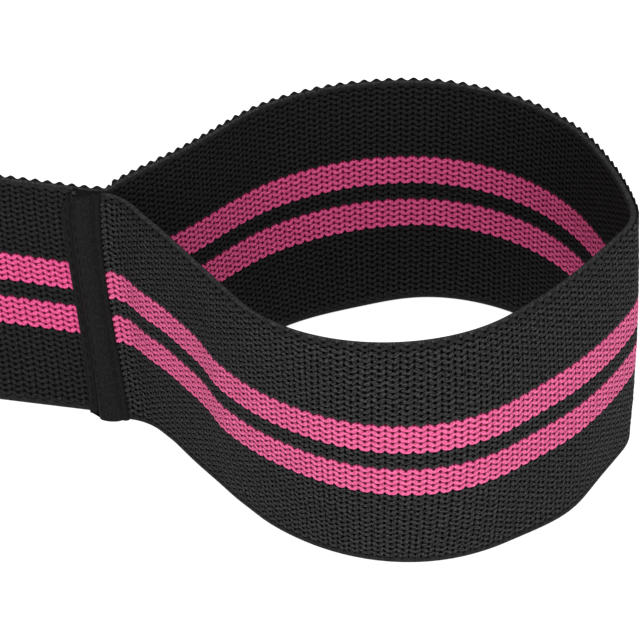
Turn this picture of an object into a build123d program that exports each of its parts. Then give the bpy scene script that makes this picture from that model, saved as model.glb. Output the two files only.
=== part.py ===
"""Wide knitted resistance band with a sewn loop at each end, standing on its lower edge.

The band is one length of elastic webbing. It runs straight between two seams, and at each seam it
opens into a teardrop loop, comes back and is sewn flat on its own front face. A woven tape covers
each raw end. Millimetres. The origin is the middle of the centre strip, on its lower edge, with +X
along the band, -Y towards the sewn side and +Z across the band's width.
"""

from build123d import *
import os
from collections import namedtuple

os.makedirs("parts", exist_ok=True)

# Webbing
WIDTH = 80.0
KNIT = 1.0                       # thickness of each knitted face
CORE = 1.0                       # layer between the faces, which holds the rubber
THICKNESS = 2 * KNIT + CORE
STRIPE_WIDTH = 9.4
STRIPE_DEPTH = 0.5               # how far the stripe yarn goes into a face
STRIPE_OFFSET = 7.8              # stripe's middle from the band's middle
THREAD = 0.9                     # square rubber thread
THREAD_PITCH = 1.95
THREAD_COUNT = 39
EDGE_CORD = 1.6                  # height of the selvedge cord in the core

# Seams
SEAM_X = 120.0                   # middle of each tape
TAPE_WIDTH = 13.0
TAPE = 0.8
RAW_END = -3.3                   # raw end of the lap, from the tape's middle
TAPE_RAMP = 1.3                  # how far the tape takes to climb on to the lap
STRIP_END = 6.5                  # where the sewn layers part, from the tape's middle
STITCH_ROWS = (-5.6, -1.9, 4.6)  # from the tape's middle
STITCH_LENGTH = 2.6
STITCH_PITCH = 4.0
STITCH_COUNT = 19
STITCH_WIDE = 0.6
STITCH_HIGH = 0.35

# The neck flexes about an upright line midway between the two layers, with this much room each side
NECK_ROOM = 3.2

# Loop, from the back layer's parting round to the front one: (radius, turn in degrees, + is left)
BACK_FLARE = (8.0, 65.5)
LOOP_BENDS = [(64.0, -123.0), (198.0, -12.0), (24.0, -36.0), (228.0, -16.0), (51.0, -105.0)]
FRONT_FLARE = (19.5, 46.5)

Stretch = namedtuple("Stretch", "name faces start heading hand steps")


def travel(steps, heading):
    """How far the steps go, and the heading they end on. A step with no turn is a straight run."""
    total = Vector(0, 0)
    for size, turn in steps:
        ahead = Vector(1, 0).rotate(Axis.Z, heading)
        if turn:
            centre = Vector(0, size if turn > 0 else -size).rotate(Axis.Z, heading)
            total += centre - centre.rotate(Axis.Z, turn)
        else:
            total += ahead * size
        heading += turn
    return total, heading


def close_loop():
    """The loop's steps, with the two straight flanks as long as bring the end back on the strip."""
    bends, _ = travel([BACK_FLARE], 0)
    main, front_heading = travel(LOOP_BENDS, BACK_FLARE[1])
    last, _ = travel([FRONT_FLARE], front_heading)
    short = Vector(0, -THICKNESS) - bends - main - last
    back = Vector(1, 0).rotate(Axis.Z, BACK_FLARE[1])
    front = Vector(1, 0).rotate(Axis.Z, front_heading)
    area = back.X * front.Y - back.Y * front.X
    back_run = (short.X * front.Y - short.Y * front.X) / area
    front_run = (back.X * short.Y - back.Y * short.X) / area
    return [BACK_FLARE, (back_run, 0), *LOOP_BENDS, (front_run, 0), FRONT_FLARE]


def trace(stretch, shift):
    """Draws the stretch's path, shifted towards its outer face, and gives its two ends."""
    heading = stretch.heading
    side = Vector(0, shift * stretch.hand).rotate(Axis.Z, heading)
    first = last = Vector(*stretch.start) + side
    for size, turn in stretch.steps:
        ahead = Vector(1, 0).rotate(Axis.Z, heading)
        if turn:
            radius = size - shift if turn > 0 else size + shift
            edge = JernArc(last, ahead, radius, turn * stretch.hand)
        else:
            edge = Line(last, last + ahead * size)
        last = edge @ 1
        heading += turn * stretch.hand
    return first, last


def make_layer(stretch, inner, outer, bottom, top):
    """One layer of the webbing, between two shifts from its path, cut back where the neck flexes."""
    with BuildPart() as layer:
        with BuildSketch(Plane.XY.offset(bottom)):
            with BuildLine():
                inner_start, inner_end = trace(stretch, inner)
                outer_start, outer_end = trace(stretch, outer)
                Line(inner_start, outer_start)
                Line(inner_end, outer_end)
            make_face()
        extrude(amount=top - bottom)
        if stretch.name != "centre":
            room = 2 * (STRIP_END + SEAM_X + 2 * NECK_ROOM)
            Box(room, WIDTH, 3 * WIDTH, mode=Mode.SUBTRACT)
    return layer.part


def write(part, name):
    part.label = name
    export_step(part, f"parts/{name}.step")


def stripe_heights():
    """Lower and upper edge of each stripe, across the band's width."""
    for name, side in (("upper", 1), ("lower", -1)):
        middle = WIDTH / 2 + side * STRIPE_OFFSET
        yield name, middle - STRIPE_WIDTH / 2, middle + STRIPE_WIDTH / 2


def make_knit(stretch, side):
    """Black face of the webbing, grooved for its two stripes. Side is +1 on the outer face."""
    skin = side * THICKNESS / 2
    limits = sorted((side * CORE / 2, skin))
    groove = sorted((skin - side * STRIPE_DEPTH, skin))
    grooves = [make_layer(stretch, *groove, low, high) for _, low, high in stripe_heights()]
    with BuildPart() as knit:
        add(make_layer(stretch, *limits, 0, WIDTH))
        add(grooves, mode=Mode.SUBTRACT)
    return knit.part


def make_stripe(stretch, side, low, high):
    """Stripe yarn let into one face, flush with it."""
    skin = side * THICKNESS / 2
    limits = sorted((skin - side * STRIPE_DEPTH, skin))
    return make_layer(stretch, *limits, low, high)


def make_threads(stretch):
    """Rubber threads, side by side across the band."""
    thread = make_layer(stretch, -THREAD / 2, THREAD / 2, -THREAD / 2, THREAD / 2)
    first = WIDTH / 2 - THREAD_PITCH * (THREAD_COUNT - 1) / 2
    with BuildPart() as threads:
        with Locations(*[(0, 0, first + row * THREAD_PITCH) for row in range(THREAD_COUNT)]):
            add(thread)
    return threads.part


def make_edge_cords(stretch):
    """Selvedge cords that close the core along both edges."""
    with BuildPart() as cords:
        for low in (0, WIDTH - EDGE_CORD):
            add(make_layer(stretch, -CORE / 2, CORE / 2, low, low + EDGE_CORD))
    return cords.part


def write_webbing(stretch):
    for face, side in zip(stretch.faces, (1, -1)):
        write(make_knit(stretch, side), f"{stretch.name}_{face}_knit")
        for name, low, high in stripe_heights():
            write(make_stripe(stretch, side, low, high), f"{stretch.name}_{face}_stripe_{name}")
    write(make_threads(stretch), f"{stretch.name}_rubber_threads")
    write(make_edge_cords(stretch), f"{stretch.name}_edge_cords")


def make_lap_end(side):
    """The band's last few millimetres, sewn flat on the strip's front face."""
    with BuildPart() as lap:
        with BuildSketch():
            with Locations((side * (SEAM_X + (RAW_END + STRIP_END) / 2), -THICKNESS)):
                Rectangle(STRIP_END - RAW_END, THICKNESS)
        extrude(amount=WIDTH)
    return lap.part


def make_tape(side):
    """Woven tape over the raw end: half on the strip, half up on the lap."""
    strip_face = -THICKNESS / 2
    lap_face = strip_face - THICKNESS
    half = TAPE_WIDTH / 2
    profile = [
        (-half, strip_face),
        (RAW_END, strip_face),
        (RAW_END, lap_face),
        (half, lap_face),
        (half, lap_face - TAPE),
        (RAW_END - TAPE / 2, lap_face - TAPE),
        (RAW_END - TAPE, lap_face),
        (RAW_END - TAPE_RAMP, strip_face - TAPE),
        (-half, strip_face - TAPE),
    ]
    with BuildPart() as tape:
        with BuildSketch():
            with BuildLine():
                Polyline(*[(side * (SEAM_X + along), across) for along, across in profile], close=True)
            make_face()
        extrude(amount=WIDTH)
    return tape.part


def make_stitching(side):
    """Lockstitch rows, on the tape's face and on the strip's back face."""
    strip_back = THICKNESS / 2
    rise = THICKNESS + TAPE
    with BuildPart() as stitches:
        for row in STITCH_ROWS:
            front = -strip_back - (TAPE if row < RAW_END else rise)
            for depth, out in ((front, -1), (strip_back, 1)):
                face = Plane((side * (SEAM_X + row), depth, WIDTH / 2), x_dir=(0, 0, 1), z_dir=(0, out, 0))
                with BuildSketch(face):
                    with GridLocations(STITCH_PITCH, 1, STITCH_COUNT, 1):
                        SlotOverall(STITCH_LENGTH, STITCH_WIDE)
                extrude(amount=STITCH_HIGH)
    return stitches.part


half_strip = SEAM_X + STRIP_END
loop_steps = close_loop()
centre = Stretch("centre", ("rear", "front"), (-half_strip, 0), 0, 1, [(2 * half_strip, 0)])
right_loop = Stretch("right_loop", ("outer", "inner"), (half_strip, 0), 0, 1, loop_steps)
left_loop = Stretch("left_loop", ("outer", "inner"), (-half_strip, 0), 180, -1, loop_steps)

for stretch in (centre, right_loop, left_loop):
    write_webbing(stretch)

for name, side in (("right", 1), ("left", -1)):
    write(make_lap_end(side), f"{name}_lap_end")
    write(make_tape(side), f"{name}_seam_tape")
    write(make_stitching(side), f"{name}_seam_stitching")
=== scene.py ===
"""Wide knitted resistance band with a sewn loop at each end, seen from the right-hand loop.

The webbing is built row by row and wale by wale, so that its yarn has real relief. Each side runs from
the middle of the band along the strip, round its loop and back on to the strip, where a tape covers
the raw end. The left side mirrors the right one. Metres, in the CAD's frame.
"""

import math
from collections import namedtuple

import bpy
import numpy as np
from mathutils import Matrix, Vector


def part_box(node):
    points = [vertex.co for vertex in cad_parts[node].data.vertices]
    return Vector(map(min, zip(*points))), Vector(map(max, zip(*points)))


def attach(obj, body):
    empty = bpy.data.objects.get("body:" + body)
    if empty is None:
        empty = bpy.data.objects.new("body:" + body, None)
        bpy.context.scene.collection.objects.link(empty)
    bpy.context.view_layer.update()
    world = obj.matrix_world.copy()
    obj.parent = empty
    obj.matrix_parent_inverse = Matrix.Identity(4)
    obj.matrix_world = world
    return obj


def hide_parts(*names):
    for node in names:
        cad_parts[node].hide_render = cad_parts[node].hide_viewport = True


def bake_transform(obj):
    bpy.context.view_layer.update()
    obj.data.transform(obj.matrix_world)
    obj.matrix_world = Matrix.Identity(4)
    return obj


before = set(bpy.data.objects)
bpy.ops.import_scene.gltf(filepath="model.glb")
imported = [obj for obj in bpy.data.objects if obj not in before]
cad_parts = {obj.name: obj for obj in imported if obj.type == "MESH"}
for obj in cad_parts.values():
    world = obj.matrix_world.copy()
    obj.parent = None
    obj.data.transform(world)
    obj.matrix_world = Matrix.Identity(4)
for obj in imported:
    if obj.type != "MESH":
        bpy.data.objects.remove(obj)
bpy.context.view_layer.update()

MM = 0.001

# Camera
CAMERA_TARGET = Vector((0.1945, 0.0045, 0.040))
CAMERA_AZIMUTH = math.radians(12.7)      # round from -Y towards +X
CAMERA_ELEVATION = math.radians(31.2)
CAMERA_DISTANCE = 1.2
CAMERA_LENS = 215.7                      # in mm, on a sensor 36 mm wide

# Floor and lights
FLOOR_REACH = 6
FLOOR_DROP = 0.3 * MM                    # keeps the floor clear of the band's lower edge
FLOOR_COLOUR = (0.96, 0.96, 0.96, 1)
FLOOR_GLOW = 0.78
WHITE = (1, 1, 1, 1)
SKY_STRENGTH = 0.22

Light = namedtuple("Light", "name place aim size power")
LIGHTS = [
    Light("key", (0.85, -1.40, 0.40), (0.2, -0.05, 0.03), (0.9, 0.5), 10.2),
    Light("top", (0.35, -0.75, 1.45), (0.2, 0.02, 0.02), (1.3, 1.0), 12),
]

# Webbing, as in the CAD
_, strip_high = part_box("centre_front_knit")
tape_low, tape_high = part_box("right_seam_tape")
lap_low, lap_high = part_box("right_lap_end")
WIDTH = strip_high.z
NECK_X = strip_high.x                    # where the sewn layers part
SEAM_X = (tape_low.x + tape_high.x) / 2
THICKNESS = lap_high.y - lap_low.y
HALF = THICKNESS / 2
TAPE_WIDTH = tape_high.x - tape_low.x
LAP_CLEARANCE = 0.6 * MM                 # between the lap's raw end and the tape that covers it
LAP_LENGTH = lap_high.x - lap_low.x - LAP_CLEARANCE

# Loop, from the back layer's parting round to the front one: (radius in mm, turn in degrees, + is left)
BACK_FLARE = (8.0, 65.5)
LOOP_BENDS = [(64.0, -123.0), (198.0, -12.0), (24.0, -36.0), (228.0, -16.0), (51.0, -105.0)]
FRONT_FLARE = (19.5, 46.5)

# Knit
ROW = 1.95 * MM                          # yarn row pitch, across the band
WALE = 4.0 * MM                          # loop pitch, along the band
ROWS = 20                                # rows each side of the middle one, edge cords included
STRIPE_ROWS = (2, 6)                     # first and last pink row, each side of the middle
WAVE = 0.43 * MM                         # how far a row swings up and down in each wale
GROOVE = 0.30 * MM                       # depth between two rows
PIT = 0.55 * MM                          # extra depth where the loops leave a gap, twice in each wale
PIT_LENGTH = 0.15                        # half a gap's length, in wales
PIT_HEIGHT = 0.26                        # half its height, in rows
PIT_SHADE_HEIGHT = 0.28                  # the same for the painted shade put in it
PIT_FLAT = 0.4                           # the part of a gap that is at full depth
PIT_SLOPE = 0.8                          # over which it rises to the yarn's crest
PIT_SHORTER = 0.03                       # where a row swings up, its gaps are this much shorter
PIT_TALLER = 0.06                        # and this much taller
CREST_POWER = 0.8                        # below 1, a yarn's crest is broad and its groove narrow
UNEVEN_HEIGHT = 0.045 * MM               # how far one yarn loop differs from the next outwards
UNEVEN_SWING = 0.10                      # and in its swing
WALE_STEPS = 8                           # mesh steps in a wale
ROW_STEPS = 4                            # and across a row

# How the slack webbing hangs
LEAN = 7.7 * MM                          # how much further along the seam's lower edge lies
LEAN_BOW = 1.5 * MM                      # how far the seam bows back, two thirds of the way up
BOW_PEAK = 4 / 27                        # highest value of h * h * (1 - h)
LEAN_REACH = 35 * MM                     # how far into the loop the lean lasts
# Outward shift in mm round a length from the back parting, and how far it reaches before and after.
# Top and bottom are the shift at the edges, and belly is what is added half way between them.
Ease = namedtuple("Ease", "middle before after top belly bottom")
EASES = [
    Ease(-40, 80, 40, 1.9, 2.6, -0.9),
    Ease(8, 7, 32, 4.9, 0.0, 5.0),
    Ease(60, 20, 30, 1.3, 1.4, 1.2),
    Ease(75, 50, 50, 0.0, 0.0, -7.5),
    Ease(110, 24, 20, -0.1, 1.7, -2.9),
    Ease(138, 14, 20, 0.7, 0.2, 0.2),
    Ease(190, 26, 26, -0.6, -0.9, 0.0),
    Ease(276, 26, 24, -0.8, 2.6, 0.5),
    Ease(300, 18, 20, 0.0, 0.0, 3.5),
    Ease(350, 42, 38, -0.9, 3.6, 0.5),
    Ease(402, 62, 62, 1.0, 0.0, -9.4),
    Ease(428, 20, 12, 0.0, 2.3, 0.9),
    Ease(486, 12, 14, 1.2, 1.5, 1.1),
]
STRIP_CALM = 50 * MM                     # from the middle of the band to where the strip is fully slack
LAP_CALM = 24 * MM                       # over which the front layer comes in to lie on the strip
PULL = 9 * MM                            # how far into the loop the lap, lying on the slack strip, pulls it
PULL_LIMIT = 10 * PULL                   # nothing of it is left further on

SIDES = {"right": 1, "left": -1}


# ---------------------------------------------------------------- camera, floor and light

def make_camera():
    """Long lens, above and a little to the right of the loop it looks at."""
    back = Vector((
        math.sin(CAMERA_AZIMUTH) * math.cos(CAMERA_ELEVATION),
        -math.cos(CAMERA_AZIMUTH) * math.cos(CAMERA_ELEVATION),
        math.sin(CAMERA_ELEVATION),
    ))
    camera = bpy.data.objects.new("camera", bpy.data.cameras.new("camera"))
    camera.data.lens = CAMERA_LENS
    camera.data.sensor_width = 36
    camera.data.clip_start = 0.05
    camera.location = CAMERA_TARGET + back * CAMERA_DISTANCE
    camera.rotation_euler = (-back).to_track_quat("-Z", "Y").to_euler()
    bpy.context.scene.collection.objects.link(camera)
    bpy.context.scene.camera = camera


def make_floor():
    mesh = bpy.data.meshes.new("floor")
    corners = [(x * FLOOR_REACH, y * FLOOR_REACH, 0) for x, y in ((-1, -1), (1, -1), (1, 1), (-1, 1))]
    mesh.from_pydata(corners, [], [(0, 1, 2, 3)])
    floor = bpy.data.objects.new("floor", mesh)
    floor.location.z = -FLOOR_DROP
    bpy.context.scene.collection.objects.link(floor)
    material = bpy.data.materials.new("floor_paper")
    material.use_nodes = True
    shader = material.node_tree.nodes["Principled BSDF"]
    shader.inputs["Base Color"].default_value = FLOOR_COLOUR
    shader.inputs["Roughness"].default_value = 0.9
    shader.inputs["Specular IOR Level"].default_value = 0.1
    shader.inputs["Emission Color"].default_value = WHITE
    shader.inputs["Emission Strength"].default_value = FLOOR_GLOW
    mesh.materials.append(material)


def make_light(light):
    data = bpy.data.lights.new(light.name, "AREA")
    data.shape = "RECTANGLE"
    data.size, data.size_y = light.size
    data.energy = light.power
    lamp = bpy.data.objects.new(light.name, data)
    lamp.location = light.place
    lamp.rotation_euler = (Vector(light.aim) - Vector(light.place)).to_track_quat("-Z", "Y").to_euler()
    bpy.context.scene.collection.objects.link(lamp)


def make_lights():
    scene = bpy.context.scene
    scene.view_settings.view_transform = "Standard"
    world = bpy.data.worlds.new("studio")
    world.use_nodes = True
    sky = world.node_tree.nodes["Background"]
    sky.inputs["Color"].default_value = WHITE
    sky.inputs["Strength"].default_value = SKY_STRENGTH
    scene.world = world
    for light in LIGHTS:
        make_light(light)


# ---------------------------------------------------------------- path of the webbing

Step = namedtuple("Step", "begin length radius turn x y heading")


def travel(moves, heading=0.0):
    """How far the moves go, and the heading they end on. A move with no turn is a straight run."""
    spot = 0j
    for size, turn in moves:
        ahead = np.exp(1j * heading)
        if turn:
            centre = 1j * math.copysign(size, turn) * ahead
            spot += centre - centre * np.exp(1j * turn)
        else:
            spot += size * ahead
        heading += turn
    return spot, heading


def close_loop():
    """The loop's moves, with the two straight flanks as long as bring the end back on the strip."""
    back, *bends, front = [(r * MM, math.radians(t)) for r, t in (BACK_FLARE, *LOOP_BENDS, FRONT_FLARE)]
    before, back_heading = travel([back])
    middle, front_heading = travel(bends, back_heading)
    after, _ = travel([front], front_heading)
    short = -1j * THICKNESS - before - middle - after
    one, two = np.exp(1j * back_heading), np.exp(1j * front_heading)
    runs = np.linalg.solve([[one.real, two.real], [one.imag, two.imag]], [short.real, short.imag])
    return [back, (runs[0], 0.0), *bends, (runs[1], 0.0), front]


def lay_path():
    """Every step of one side: half the strip, the loop and the lap."""
    steps, begin, spot, heading = [], 0.0, 0j, 0.0
    for size, turn in [(NECK_X, 0.0), *close_loop(), (LAP_LENGTH, 0.0)]:
        length = abs(size * turn) if turn else size
        steps.append(Step(begin, length, size, turn, spot.real, spot.imag, heading))
        moved, heading = travel([(size, turn)], heading)
        spot += moved
        begin += length
    return steps


PATH = lay_path()
LOOP_START = NECK_X
LOOP_END = PATH[-1].begin
PATH_END = LOOP_END + LAP_LENGTH


def on_path(s):
    """Position and heading at each length along the path."""
    x, y, heading = np.empty_like(s), np.empty_like(s), np.empty_like(s)
    which = np.clip(np.searchsorted([p.begin for p in PATH], s, side="right") - 1, 0, len(PATH) - 1)
    for number, p in enumerate(PATH):
        here = which == number
        run = s[here] - p.begin
        turned = run / p.length * p.turn
        ahead = np.exp(1j * p.heading)
        if p.turn:
            centre = 1j * math.copysign(p.radius, p.turn) * ahead
            spot = centre - centre * np.exp(1j * turned)
        else:
            spot = run * ahead
        x[here], y[here], heading[here] = p.x + spot.real, p.y + spot.imag, p.heading + turned
    return x, y, heading


def smooth(t):
    """0 up to 0 and 1 from 1, smooth in between."""
    t = np.clip(t, 0, 1)
    return t * t * (3 - 2 * t)


def seam_lean(z):
    """How far along the band the seam lies at a height: most at its foot, with a slight bow."""
    height = z / WIDTH
    return LEAN * (1 - height) - LEAN_BOW * height ** 2 * (1 - height) / BOW_PEAK


def lean(s, z):
    """How far along the band the slack seam pulls a point, most at the lower edge."""
    strip = smooth(s / (SEAM_X - TAPE_WIDTH / 2))
    after = np.exp(-((s - LOOP_START) / LEAN_REACH) ** 2)
    before = np.exp(-((s - LOOP_END) / LEAN_REACH) ** 2)
    share = np.where(s < LOOP_START, strip, np.where(s > LOOP_END, 1.0, np.maximum(after, before)))
    return seam_lean(z) * share


def slack(s, z):
    """How far outwards the slack webbing of the strip and the loop stands from its plain path."""
    total = np.zeros_like(s)
    height = z / WIDTH
    for e in EASES:
        away = (s - LOOP_START) / MM - e.middle
        bump = np.exp(-(away / np.where(away < 0, e.before, e.after)) ** 2)
        total += bump * (e.bottom + (e.top - e.bottom) * height + 4 * e.belly * height * (1 - height)) * MM
    return total * smooth(s / STRIP_CALM)


def ease(s, z):
    """The same all along the path. The lap lies on the strip and follows it."""
    past = np.maximum(s - LOOP_END, 0)
    before = np.minimum(s - LOOP_END, 0)
    pull = slack(LOOP_START - past, z) * np.exp(-(before / PULL) ** 2)
    own = slack(s, z) * smooth((LOOP_END - s) / LAP_CALM)
    return np.where(s < LOOP_END, own, 0.0) - np.where(s > LOOP_END - PULL_LIMIT, pull, 0.0)


def place(s, z, out):
    """Points at a length along the path, a height and a distance towards the outer face."""
    s, z, out = np.broadcast_arrays(np.asarray(s, float), z, out)
    x, y, heading = on_path(s)
    away = out + ease(s, z)
    return np.stack([x - away * np.sin(heading) + lean(s, z), y + away * np.cos(heading), z], -1)


# ---------------------------------------------------------------- mesh making

def link_mesh(name, points, quads, side, uv=None):
    """One mesh from a point array and quads. The left side is mirrored and its faces turned over."""
    points = points.reshape(-1, 3) * (side, 1, 1)
    if side < 0:
        quads = quads[:, ::-1]
    mesh = bpy.data.meshes.new(name)
    mesh.vertices.add(len(points))
    mesh.vertices.foreach_set("co", points.astype(np.float32).ravel())
    mesh.loops.add(quads.size)
    mesh.loops.foreach_set("vertex_index", quads.astype(np.int32).ravel())
    mesh.polygons.add(len(quads))
    mesh.polygons.foreach_set("loop_start", np.arange(0, quads.size, 4, dtype=np.int32))
    mesh.update(calc_edges=True)
    mesh.polygons.foreach_set("use_smooth", np.ones(len(quads), bool))
    if uv is not None:
        layer = mesh.uv_layers.new(name="Weave")
        layer.data.foreach_set("uv", uv.reshape(-1, 2)[quads.ravel()].astype(np.float32).ravel())
    mesh.validate()
    piece = bpy.data.objects.new(name, mesh)
    bpy.context.scene.collection.objects.link(piece)
    return piece


def grid_quads(along, across, first=0, flip=False):
    """Quads of a grid whose points run across, then along."""
    a, b = np.meshgrid(np.arange(along - 1), np.arange(across - 1), indexing="ij")
    corner = first + a * across + b
    quads = np.stack([corner, corner + across, corner + across + 1, corner + 1], -1).reshape(-1, 4)
    return quads[:, ::-1] if flip else quads


def join_grids(grids):
    """Several (points, uv, flip) grids as one point array, quad array and UV array."""
    points, quads, uvs, first = [], [], [], 0
    for grid, uv, flip in grids:
        along, across = grid.shape[:2]
        quads.append(grid_quads(along, across, first, flip))
        points.append(grid.reshape(-1, 3))
        uvs.append(uv.reshape(-1, 2))
        first += along * across
    return np.concatenate(points), np.concatenate(quads), np.concatenate(uvs)


# ---------------------------------------------------------------- knitted webbing

tension = np.random.default_rng(7).normal(0, 1, (1024, 2 * ROWS + 3))


def unevenness(u, v):
    """Small differences from one yarn loop to the next."""
    row = np.clip(np.round(v).astype(int) + ROWS + 1, 0, tension.shape[1] - 1)
    wale = np.floor(u).astype(int) % tension.shape[0]
    part = smooth(u - np.floor(u))
    return tension[wale, row] * (1 - part) + tension[(wale + 1) % tension.shape[0], row] * part


def stations(begin, end):
    """Lengths along the path at which a stretch has its points."""
    count = int(round((end - begin) / WALE * WALE_STEPS)) + 1
    return np.linspace(begin, end, count)


def row_swing(u):
    """How far up a row stands, by wale."""
    return WAVE * np.cos(2 * np.pi * u)


def pit_share(u, v):
    """How far a point lies in a gap between loops, twice in each wale: wide ones, then tall ones."""
    rise = 0.5 + 0.5 * np.cos(2 * np.pi * u)
    along = np.abs(u * 2 - np.round(u * 2)) / 2
    across = 0.5 - np.abs(v - np.round(v))
    away = np.hypot(along / (PIT_LENGTH - PIT_SHORTER * rise), across / (PIT_HEIGHT + PIT_TALLER * rise))
    return 1 - smooth((away - PIT_FLAT) / PIT_SLOPE)


def knit_grid(begin, end, first_row, last_row, face):
    """Rows of looped yarn on one face. Face is +1 for the outer face and -1 for the inner one."""
    s = stations(begin, end)
    v = first_row - 0.5 + np.arange((last_row - first_row + 1) * ROW_STEPS + 1) / ROW_STEPS
    s, v = np.meshgrid(s, v, indexing="ij")
    u = s / WALE
    crest = np.cos(np.pi * (v - np.round(v))) ** CREST_POWER
    uneven = unevenness(u, v)
    out = HALF - GROOVE * (1 - crest) - PIT * pit_share(u, v) + UNEVEN_HEIGHT * uneven * crest
    z = WIDTH / 2 + ROW * v + row_swing(u) * (1 + UNEVEN_SWING * uneven * crest)
    return place(s, z, face * out), np.stack([u, v], -1), face < 0


# Selvedge, from the outer face over the edge to the inner one:
# (outward, above the edge, in mm, how much of the rows' swing it follows)
SELVEDGE = [
    (1.00, -2.00, 1.0), (1.40, -1.50, 1.0), (1.56, -0.85, 1.0), (1.56, -0.40, 1.1), (1.44, -0.08, 1.2),
    (1.24, 0.06, 1.2), (1.08, -0.06, 1.1), (0.98, -0.50, 0.5), (0.88, -0.70, 0.0), (0.78, -0.46, 0.0),
    (0.52, -0.08, 0.0), (0.04, 0.12, 0.0), (-0.50, 0.08, 0.0), (-1.00, -0.14, 0.0), (-1.30, -0.55, 0.0),
    (-1.34, -1.05, 0.1), (-1.10, -1.40, 0.5), (-1.30, -1.70, 0.9), (-0.90, -2.00, 1.0),
]
SELVEDGE_ROOT = -1.9                     # points lower than this join the last row of knit


def selvedge_grid(begin, end, edge):
    """Edge cord. Edge is +1 for the upper edge, where the outer loops stand proud, and -1 for the lower."""
    out, above, follow = (np.array(column) for column in zip(*SELVEDGE))
    s = stations(begin, end)[:, None]
    joins = above < SELVEDGE_ROOT
    above = np.where(joins, (ROWS - 0.5) * ROW - WIDTH / 2, above * MM)
    if edge < 0:
        above = np.minimum(above, 0)
        follow = follow * joins
    z = WIDTH / 2 + edge * (WIDTH / 2 + above) + row_swing(s / WALE) * follow
    s, z, out = np.broadcast_arrays(s, z, out * MM)
    across = np.broadcast_to(np.linspace(0, 1, len(SELVEDGE)), s.shape)
    return place(s, z, out), np.stack([s / WALE, across], -1), edge < 0


STRETCHES = {"strip": (0.0, LOOP_START), "loop": (LOOP_START, LOOP_END), "lap": (LOOP_END, PATH_END)}


def cad_nodes(side, stretch, face):
    """The CAD stretch that a piece of webbing stands for, and its name for that face."""
    if stretch == "strip":
        return "centre", {"outer": "rear", "inner": "front"}[face]
    return f"{side}_loop", face


def fasten(piece, side, stretch):
    """Ties a lap to its seam's body; a piece of the strip or the loop only has its transform applied."""
    if stretch == "strip":
        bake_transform(piece)
    elif stretch == "loop":
        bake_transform(piece)
    else:
        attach(piece, f"{side}_seam")


def finish_piece(piece, side, stretch, material, nodes):
    """Gives a piece of webbing its look and, for a lap, its body, and hides the CAD nodes it stands for."""
    piece.data.materials.append(material)
    fasten(piece, side, stretch)
    if nodes:
        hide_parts(*nodes)


def make_face(side, stretch, face):
    """One face of a stretch: its black ground and its two pink stripes."""
    begin, end = STRETCHES[stretch]
    sign = 1 if face == "outer" else -1
    low, high = STRIPE_ROWS
    last = ROWS - 1
    cad, cad_face = cad_nodes(side, stretch, face)
    name = f"{side}_{stretch}_{face}"
    black_rows = ((-last, -high - 1), (1 - low, low - 1), (high + 1, last))
    points, quads, uv = join_grids([knit_grid(begin, end, *rows, sign) for rows in black_rows])
    piece = link_mesh(f"{name}_ground", points, quads, SIDES[side], uv)
    nodes = [f"{side}_lap_end"] if stretch == "lap" else [f"{cad}_{cad_face}_knit"]
    finish_piece(piece, side, stretch, BLACK_KNIT_LIT_AND_SHADED[face], nodes)
    for stripe, rows in (("upper", (low, high)), ("lower", (-high, -low))):
        points, quads, uv = join_grids([knit_grid(begin, end, *rows, sign)])
        piece = link_mesh(f"{name}_stripe_{stripe}", points, quads, SIDES[side], uv)
        nodes = [] if stretch == "lap" else [f"{cad}_{cad_face}_stripe_{stripe}"]
        finish_piece(piece, side, stretch, PINK_KNIT_LIT_AND_SHADED[face], nodes)


def make_selvedges(side, stretch):
    """The cord along each edge of a stretch. It also stands for the rubber, which is out of sight."""
    begin, end = STRETCHES[stretch]
    cad, _ = cad_nodes(side, stretch, "outer")
    for edge, sign in (("upper", 1), ("lower", -1)):
        points, quads, uv = join_grids([selvedge_grid(begin, end, sign)])
        piece = link_mesh(f"{side}_{stretch}_selvedge_{edge}", points, quads, SIDES[side], uv)
        nodes = [] if stretch == "lap" else [f"{cad}_edge_cords", f"{cad}_rubber_threads"]
        finish_piece(piece, side, stretch, CORD, nodes)


# ---------------------------------------------------------------- seam tape and stitching

# Tape's outer face, across the tape: (from its middle, above the strip's front face), in mm
TAPE_FACE = [
    (-7.10, 0.10), (-7.02, 0.42), (-6.70, 0.66), (-6.10, 0.80), (-5.50, 0.80), (-5.00, 0.86), (-4.50, 0.92),
    (-4.10, 0.84), (-3.80, 0.66), (-3.62, 0.70), (-3.46, 1.20), (-3.30, 2.20), (-3.12, 3.00), (-2.80, 3.55),
    (-2.20, 4.00), (-1.40, 4.26), (-0.40, 4.42), (0.60, 4.46), (1.60, 4.40), (2.60, 4.22), (3.40, 3.94),
    (4.00, 3.62), (4.35, 3.30), (4.60, 3.26), (4.90, 3.48), (5.30, 3.66), (5.80, 3.66), (6.20, 3.50),
    (6.44, 3.26), (6.50, 3.00),
]
TAPE_UNDER = [(6.3, 2.9), (-2.9, 2.9), (-3.1, -0.1), (-6.9, -0.1)]
TAPE_FOLD = 5.2 * MM                     # how much the upper left corner is folded in
TAPE_FOLD_DEPTH = 9 * MM
TAPE_FOLD_POWER = 1.3
TAPE_SPREAD = 1.2 * MM                   # how far it spreads just under the fold
TAPE_SPREAD_DEPTH = 18 * MM
TAPE_WAIST = 0.08                        # how much narrower it is at mid height
TAPE_RINGS = 100
# Upper end, turned in over the webbing's edge: (share of the way back, above the edge in mm)
TAPE_TURN = [
    (0.0, -1.4), (0.0, -0.7), (0.03, -0.1), (0.12, 0.3), (0.3, 0.5), (0.6, 0.5), (0.85, 0.3), (1.0, -0.2),
]
TAPE_TURN_END = 0.2 * MM                 # behind the strip's middle
TAPE_TURN_PITCH = 0.8                    # in mm of tape, from one of those points to the next


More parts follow.
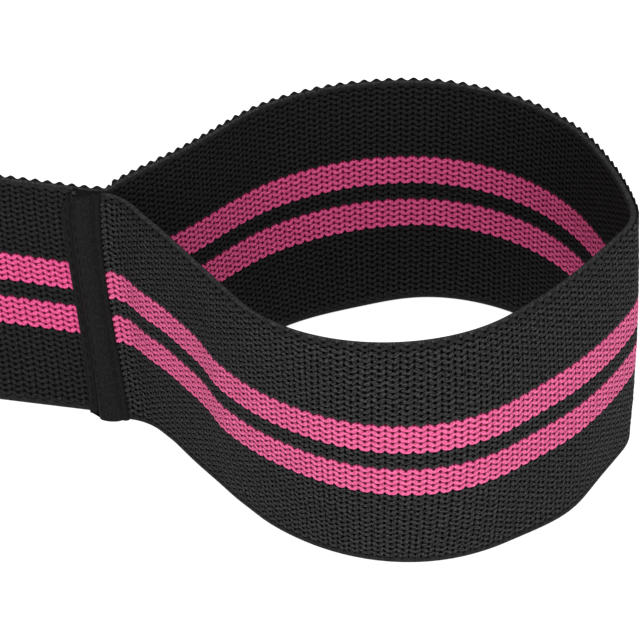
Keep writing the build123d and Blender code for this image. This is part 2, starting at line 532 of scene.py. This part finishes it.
def tape_outline(z, profile):
    """The tape's section at each height, through points given across it and above the strip."""
    along, height = (np.array(column) * MM for column in zip(*profile))
    z = z[:, None]
    fold = np.clip((z - (WIDTH - TAPE_FOLD_DEPTH)) / TAPE_FOLD_DEPTH, 0, 1) ** TAPE_FOLD_POWER
    spread = smooth((z - (WIDTH - TAPE_SPREAD_DEPTH)) / TAPE_SPREAD_DEPTH)
    edge = TAPE_FACE[0][0] * MM
    left = edge - TAPE_SPREAD * spread + TAPE_FOLD * fold
    waist = 1 - 4 * TAPE_WAIST * z / WIDTH * (1 - z / WIDTH)
    along = np.where(along < 0, along * left / edge, along) * waist
    z = np.broadcast_to(z, along.shape)
    y = -HALF - height + ease(SEAM_X + along, z)
    return np.stack([SEAM_X + along + seam_lean(z), y, z], -1)


def tape_turn():
    """The tape's upper end, from its face over the edge and back to the middle of the strip."""
    back, above = (np.array(column) for column in zip(*TAPE_TURN))
    turn = tape_outline(WIDTH + np.minimum(above, 0) * MM, TAPE_FACE)
    turn[..., 1] += back[:, None] * (TAPE_TURN_END - turn[..., 1])
    turn[..., 2] = WIDTH + above[:, None] * MM
    return turn


def make_tape(side):
    """The tape as rings round its section, closed at its foot, with the upper end turned over."""
    z = np.linspace(0, WIDTH + TAPE_TURN[0][1] * MM, TAPE_RINGS)
    rings = tape_outline(z, [*TAPE_FACE, *TAPE_UNDER, TAPE_FACE[0]])
    count = rings.shape[1]
    across = np.broadcast_to(np.linspace(0, 1, count), rings.shape[:2])
    lengthways = np.broadcast_to((z / MM)[:, None], rings.shape[:2])
    turn = tape_turn()
    past = lengthways[-1, 0] + np.arange(len(TAPE_TURN))[:, None] * TAPE_TURN_PITCH
    turn_uv = np.stack([
        np.broadcast_to(across[0, :len(TAPE_FACE)], turn.shape[:2]),
        np.broadcast_to(past, turn.shape[:2]),
    ], -1)
    points, quads, uv = join_grids([(rings, np.stack([across, lengthways], -1), True), (turn, turn_uv, True)])
    foot = [[k, k + 1, count - 2 - k, count - 1 - k] for k in range(count // 2 - 1)]
    quads = np.concatenate([quads, np.array(foot)])
    piece = link_mesh(f"{side}_tape", points, quads, SIDES[side], uv)
    piece.data.materials.append(TAPE_CLOTH)
    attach(piece, f"{side}_seam")
    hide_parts(f"{side}_seam_tape")


STITCH_ROWS = (-5.6, -1.9, 4.6)          # from the tape's middle, in mm
STITCH_LENGTH = 2.9 * MM
STITCH_PITCH = 4.0 * MM
STITCH_COUNT = 19
STITCH_RADIUS = 0.22 * MM
STITCH_CREST = 0.16 * MM                 # its middle line above the cloth
STITCH_DIVE = 0.55 * MM                  # how far its ends go down from there
STITCH_TAPER = 0.75                      # how much of its section goes by its ends
STITCH_STEPS = 11
STITCH_SIDES = 9


def stitch_grid(row, rise, z, out):
    """One stitch, which dives into the cloth at both ends. Out is -1 on the tape, 1 behind the strip."""
    t = np.linspace(-1, 1, STITCH_STEPS)[:, None]
    turn = np.linspace(0, 2 * np.pi, STITCH_SIDES)[None, :]
    cloth = tape_outline(z + t[:, 0] * STITCH_LENGTH / 2, [(row, rise)])
    radius = STITCH_RADIUS * np.sqrt(1 - STITCH_TAPER * t ** 4)
    height = STITCH_CREST - STITCH_DIVE * t ** 4
    behind = THICKNESS + rise * MM if out > 0 else 0.0
    px = cloth[..., 0] + radius * np.cos(turn)
    py = cloth[..., 1] + behind + out * (height + radius * np.sin(turn))
    pz = cloth[..., 2] + 0 * turn
    uv = np.stack([t / 2 + 0.5 + 0 * turn, turn / (2 * np.pi) + 0 * t], -1)
    return np.stack([px, py, pz], -1), uv, out > 0


def make_stitching(side):
    """Three rows of stitches, on the tape and behind the strip."""
    grids = []
    for row in STITCH_ROWS:
        rise = np.interp(row, *zip(*TAPE_FACE))
        for number in range(STITCH_COUNT):
            z = WIDTH / 2 + (number - (STITCH_COUNT - 1) / 2) * STITCH_PITCH
            grids += [stitch_grid(row, rise, z, out) for out in (-1, 1)]
    points, quads, uv = join_grids(grids)
    piece = link_mesh(f"{side}_stitches", points, quads, SIDES[side], uv)
    piece.data.materials.append(THREAD)
    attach(piece, f"{side}_seam")
    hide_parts(f"{side}_seam_stitching")


# ---------------------------------------------------------------- materials

NOISE_ROUGHNESS = 0.55
FIBRE_TWIST = 0.9                        # rows that a fibre climbs in one wale
HOLLOW = 0.5                             # from a yarn's crest to the hollow beside it, in pitches


def grey(level):
    return (level, level, level, 1)


# Colours: of a yarn, of the painted shade in the gaps and grooves between yarns, and of the fibres on its
# crests, lighter from wear and from painted highlight
Yarn = namedtuple("Yarn", "plain hollow worn sheen specular contrast")
# Outer and inner are a lit and a shaded copy of one yarn: the inner faces, which look into the loop, are
# painted darker, with less highlight on their crests and paler shade in their gaps
BLACK_YARN_LIT_AND_SHADED = {
    "outer": Yarn((0.0085, 0.0085, 0.0088, 1), grey(0.0008), (0.060, 0.059, 0.061, 1), 0.005, 0.02, 0.10),
    "inner": Yarn((0.0090, 0.0090, 0.0092, 1), grey(0.0028), (0.032, 0.0315, 0.033, 1), 0.005, 0.02, 0.14),
}
PINK_YARN_LIT_AND_SHADED = {
    "outer": Yarn((0.66, 0.066, 0.22, 1), (0.12, 0.001, 0.02, 1), (0.97, 0.19, 0.41, 1), 0.02, 0.12, 0.14),
    "inner": Yarn((0.68, 0.053, 0.21, 1), (0.17, 0.002, 0.03, 1), (0.97, 0.155, 0.39, 1), 0.02, 0.08, 0.14),
}
# Cord colours: its sides, and its top, painted lighter where light falls on its upper face
CORD_SIDE = (0.026, 0.026, 0.0265, 1)
CORD_TOP_PAINTED_LIGHT = (0.085, 0.085, 0.086, 1)
TAPE_WORN = (0.024, 0.024, 0.0245, 1)


class Nodes:
    """Short calls for building one material's node tree."""

    def __init__(self, name):
        self.material = bpy.data.materials.new(name)
        self.material.use_nodes = True
        self.tree = self.material.node_tree
        self.shader = self.tree.nodes["Principled BSDF"]

    def add(self, kind, **settings):
        node = self.tree.nodes.new(kind)
        for key, value in settings.items():
            setattr(node, key, value)
        return node

    def link(self, value, socket):
        if isinstance(value, (int, float, tuple)):
            socket.default_value = value
        else:
            self.tree.links.new(value, socket)

    def math(self, operation, a, b=0.0):
        node = self.add("ShaderNodeMath", operation=operation)
        self.link(a, node.inputs[0])
        self.link(b, node.inputs[1])
        return node.outputs[0]

    def square(self, value):
        return self.math("MULTIPLY", value, value)

    def ramp(self, value, low, high):
        """0 below low and 1 above high, smooth in between."""
        node = self.add("ShaderNodeMapRange", interpolation_type="SMOOTHSTEP")
        self.link(value, node.inputs["Value"])
        self.link(low, node.inputs["From Min"])
        self.link(high, node.inputs["From Max"])
        return node.outputs["Result"]

    def mix(self, share, a, b):
        node = self.add("ShaderNodeMix", data_type="RGBA")
        self.link(share, node.inputs["Factor"])
        self.link(a, node.inputs["A"])
        self.link(b, node.inputs["B"])
        return node.outputs["Result"]

    def weave(self):
        """The two weave coordinates of a piece."""
        uv = self.add("ShaderNodeUVMap", uv_map="Weave")
        split = self.add("ShaderNodeSeparateXYZ")
        self.link(uv.outputs["UV"], split.inputs[0])
        return split.outputs["X"], split.outputs["Y"]

    def vector(self, x, y, z=0.0):
        node = self.add("ShaderNodeCombineXYZ")
        for value, socket in zip((x, y, z), node.inputs):
            self.link(value, socket)
        return node.outputs[0]

    def noise(self, vector, detail=3.0):
        node = self.add("ShaderNodeTexNoise")
        self.link(vector, node.inputs["Vector"])
        node.inputs["Scale"].default_value = 1
        node.inputs["Detail"].default_value = detail
        node.inputs["Roughness"].default_value = NOISE_ROUGHNESS
        return node.outputs["Fac"]

    def bump(self, height, distance, strength=1.0):
        node = self.add("ShaderNodeBump")
        node.inputs["Distance"].default_value = distance
        node.inputs["Strength"].default_value = strength
        self.link(height, node.inputs["Height"])
        self.link(node.outputs["Normal"], self.shader.inputs["Normal"])

    def surface(self, roughness, sheen, sheen_roughness, specular):
        self.link(roughness, self.shader.inputs["Roughness"])
        self.shader.inputs["Sheen Weight"].default_value = sheen
        self.shader.inputs["Sheen Roughness"].default_value = sheen_roughness
        self.shader.inputs["Specular IOR Level"].default_value = specular


def fibres(n, u, v, along, across):
    """Fine fibre noise, so many to a wale along the yarn and to a row across it, twisted a little."""
    slanted = n.math("ADD", v, n.math("MULTIPLY", u, FIBRE_TWIST))
    return n.noise(n.vector(n.math("MULTIPLY", u, along), n.math("MULTIPLY", slanted, across)))


def make_knit_material(name, yarn):
    """Looped yarn: flecked crests, thin grooves between rows and a gap twice in each wale. The flecks are
    fibres lighter from wear and from painted highlight; the grooves and gaps hold painted shade.
    """
    n = Nodes(name)
    u, v = n.weave()
    turn = n.math("COSINE", n.math("MULTIPLY", u, 2 * math.pi))
    rise = n.math("ADD", n.math("MULTIPLY", turn, 0.5), 0.5)
    off_crest = n.math("PINGPONG", v, HOLLOW)
    across = n.math("SUBTRACT", HOLLOW, off_crest)
    along = n.math("PINGPONG", u, HOLLOW / 2)
    long = n.math("SUBTRACT", PIT_LENGTH, n.math("MULTIPLY", rise, PIT_SHORTER))
    tall = n.math("ADD", PIT_SHADE_HEIGHT, n.math("MULTIPLY", rise, PIT_TALLER))
    away = n.math("ADD", n.square(n.math("DIVIDE", along, long)), n.square(n.math("DIVIDE", across, tall)))
    ragged = n.noise(n.vector(n.math("MULTIPLY", u, 2.3), n.math("MULTIPLY", v, 1.4)), 2.0)
    pit = n.math("SUBTRACT", 1.0, n.ramp(n.math("ADD", away, n.math("MULTIPLY", ragged, 0.6)), 0.75, 1.5))
    groove = n.math("MULTIPLY", n.ramp(off_crest, 0.30, 0.48), 0.6)
    # Gaps and grooves, where shade falls: the colour put in them below is painted shade
    hollow_shade_mask = n.math("MAXIMUM", pit, groove)
    fibre = fibres(n, u, v, 4.6, 4.4)
    patch = n.noise(n.vector(n.math("MULTIPLY", u, 0.35), n.math("MULTIPLY", v, 0.2)), 2.0)
    # Flecks on the crests: fibres lighter from wear, and painted highlight as well
    light = n.ramp(fibre, 0.5 - yarn.contrast, 0.5 + yarn.contrast)
    colour = n.mix(light, yarn.plain, yarn.worn)
    # Patches of tone that differ at random go a little towards the same near-black colour
    colour = n.mix(n.math("MULTIPLY", patch, 0.2), colour, yarn.hollow)
    # Painted shade in the gaps between loops and in the grooves between rows
    colour = n.mix(hollow_shade_mask, colour, yarn.hollow)
    n.link(colour, n.shader.inputs["Base Color"])
    # The same gaps and grooves are also sunk in the bump
    height = n.math("SUBTRACT", n.math("MULTIPLY", fibre, 0.9), hollow_shade_mask)
    n.bump(height, 0.45 * MM, 1.0)
    roughness = n.math("ADD", n.math("MULTIPLY", fibre, 0.25), 0.5)
    n.surface(roughness, yarn.sheen, 0.45, yarn.specular)
    return n.material


def make_cord_material():
    """Smooth selvedge cord: fine yarn wound slantwise over it, its top painted lighter as light falls on it
    from above, and painted shade in a slot along it and in the gaps where the outer loops meet it.
    """
    n = Nodes("selvedge_cord")
    u, v = n.weave()
    wound = n.math("ADD", n.math("MULTIPLY", u, 4.0), n.math("MULTIPLY", v, 3.0))
    ridge = n.math("PINGPONG", wound, HOLLOW)
    fibre = fibres(n, u, v, 6.0, 14.0)
    # Painted light: the band along the cord's top is lighter
    top = n.math("MULTIPLY", n.ramp(v, 0.46, 0.52), n.math("SUBTRACT", 1.0, n.ramp(v, 0.68, 0.76)))
    yarn = n.mix(top, CORD_SIDE, CORD_TOP_PAINTED_LIGHT)
    colour = n.mix(n.ramp(fibre, 0.36, 0.64), grey(0.006), yarn)
    # Painted shade in the slot along the cord
    crease_shade = n.math("SUBTRACT", 1.0, n.ramp(n.math("ABSOLUTE", n.math("SUBTRACT", v, 0.44)), 0.02, 0.07))
    crease_shade = n.math("MULTIPLY", crease_shade, 0.75)
    # Painted shade in the gaps where the outer loops meet the cord, and at its root
    between = n.math("SUBTRACT", 1.0, n.ramp(n.math("PINGPONG", n.math("ADD", u, 0.5), HOLLOW), 0.09, 0.17))
    upper = n.math("MULTIPLY", n.ramp(v, 0.10, 0.18), n.math("SUBTRACT", 1.0, n.ramp(v, 0.42, 0.48)))
    root = n.math("SUBTRACT", 1.0, n.ramp(v, 0.02, 0.06))
    half_wale = n.math("SUBTRACT", 1.0, n.ramp(n.math("PINGPONG", u, HOLLOW / 2), 0.06, 0.13))
    gap = n.math("MAXIMUM", n.math("MULTIPLY", between, upper), n.math("MULTIPLY", half_wale, root))
    colour = n.mix(n.math("MAXIMUM", crease_shade, gap), colour, grey(0.0008))
    n.link(colour, n.shader.inputs["Base Color"])
    n.bump(n.math("ADD", ridge, n.math("MULTIPLY", fibre, 0.7)), 0.12 * MM, 0.6)
    n.surface(n.math("ADD", n.math("MULTIPLY", fibre, 0.2), 0.6), 0.01, 0.4, 0.06)
    return n.material


def make_tape_material():
    """Woven tape: close slanting ribs, with fine fibres that wear has made lighter."""
    n = Nodes("seam_tape_cloth")
    u, v = n.weave()
    slant = n.math("ADD", n.math("MULTIPLY", v, 1.6), n.math("MULTIPLY", u, 9.0))
    rib = n.math("PINGPONG", slant, HOLLOW)
    fine = n.noise(n.vector(n.math("MULTIPLY", u, 60.0), n.math("MULTIPLY", v, 0.9)), 4.0)
    colour = n.mix(n.math("MULTIPLY", rib, 1.6), grey(0.0012), grey(0.0115))
    colour = n.mix(n.math("MULTIPLY", n.ramp(fine, 0.4, 0.7), 0.5), colour, TAPE_WORN)
    n.link(colour, n.shader.inputs["Base Color"])
    n.bump(n.math("ADD", rib, n.math("MULTIPLY", fine, 0.6)), 0.08 * MM, 0.7)
    n.surface(n.math("ADD", n.math("MULTIPLY", fine, 0.2), 0.6), 0.01, 0.4, 0.07)
    return n.material


def make_thread_material():
    """Twisted sewing thread."""
    n = Nodes("sewing_thread")
    u, v = n.weave()
    ply = n.math("PINGPONG", n.math("ADD", n.math("MULTIPLY", u, 5.0), n.math("MULTIPLY", v, 2.0)), HOLLOW)
    colour = n.mix(n.math("MULTIPLY", ply, 2.0), grey(0.002), grey(0.010))
    n.link(colour, n.shader.inputs["Base Color"])
    n.bump(ply, 0.1 * MM, 0.8)
    n.surface(0.6, 0.01, 0.4, 0.08)
    return n.material


# Lit copies for the outer faces, shaded copies for the inner ones
BLACK_KNIT_LIT_AND_SHADED = {face: make_knit_material(f"knit_yarn_black_{face}", yarn) for face, yarn in BLACK_YARN_LIT_AND_SHADED.items()}
PINK_KNIT_LIT_AND_SHADED = {face: make_knit_material(f"knit_yarn_pink_{face}", yarn) for face, yarn in PINK_YARN_LIT_AND_SHADED.items()}
CORD = make_cord_material()
TAPE_CLOTH = make_tape_material()
THREAD = make_thread_material()


# ---------------------------------------------------------------- the scene

make_camera()
make_floor()
make_lights()
for side in SIDES:
    for stretch in STRETCHES:
        for face in ("outer", "inner"):
            make_face(side, stretch, face)
        make_selvedges(side, stretch)
    make_tape(side)
    make_stitching(side)
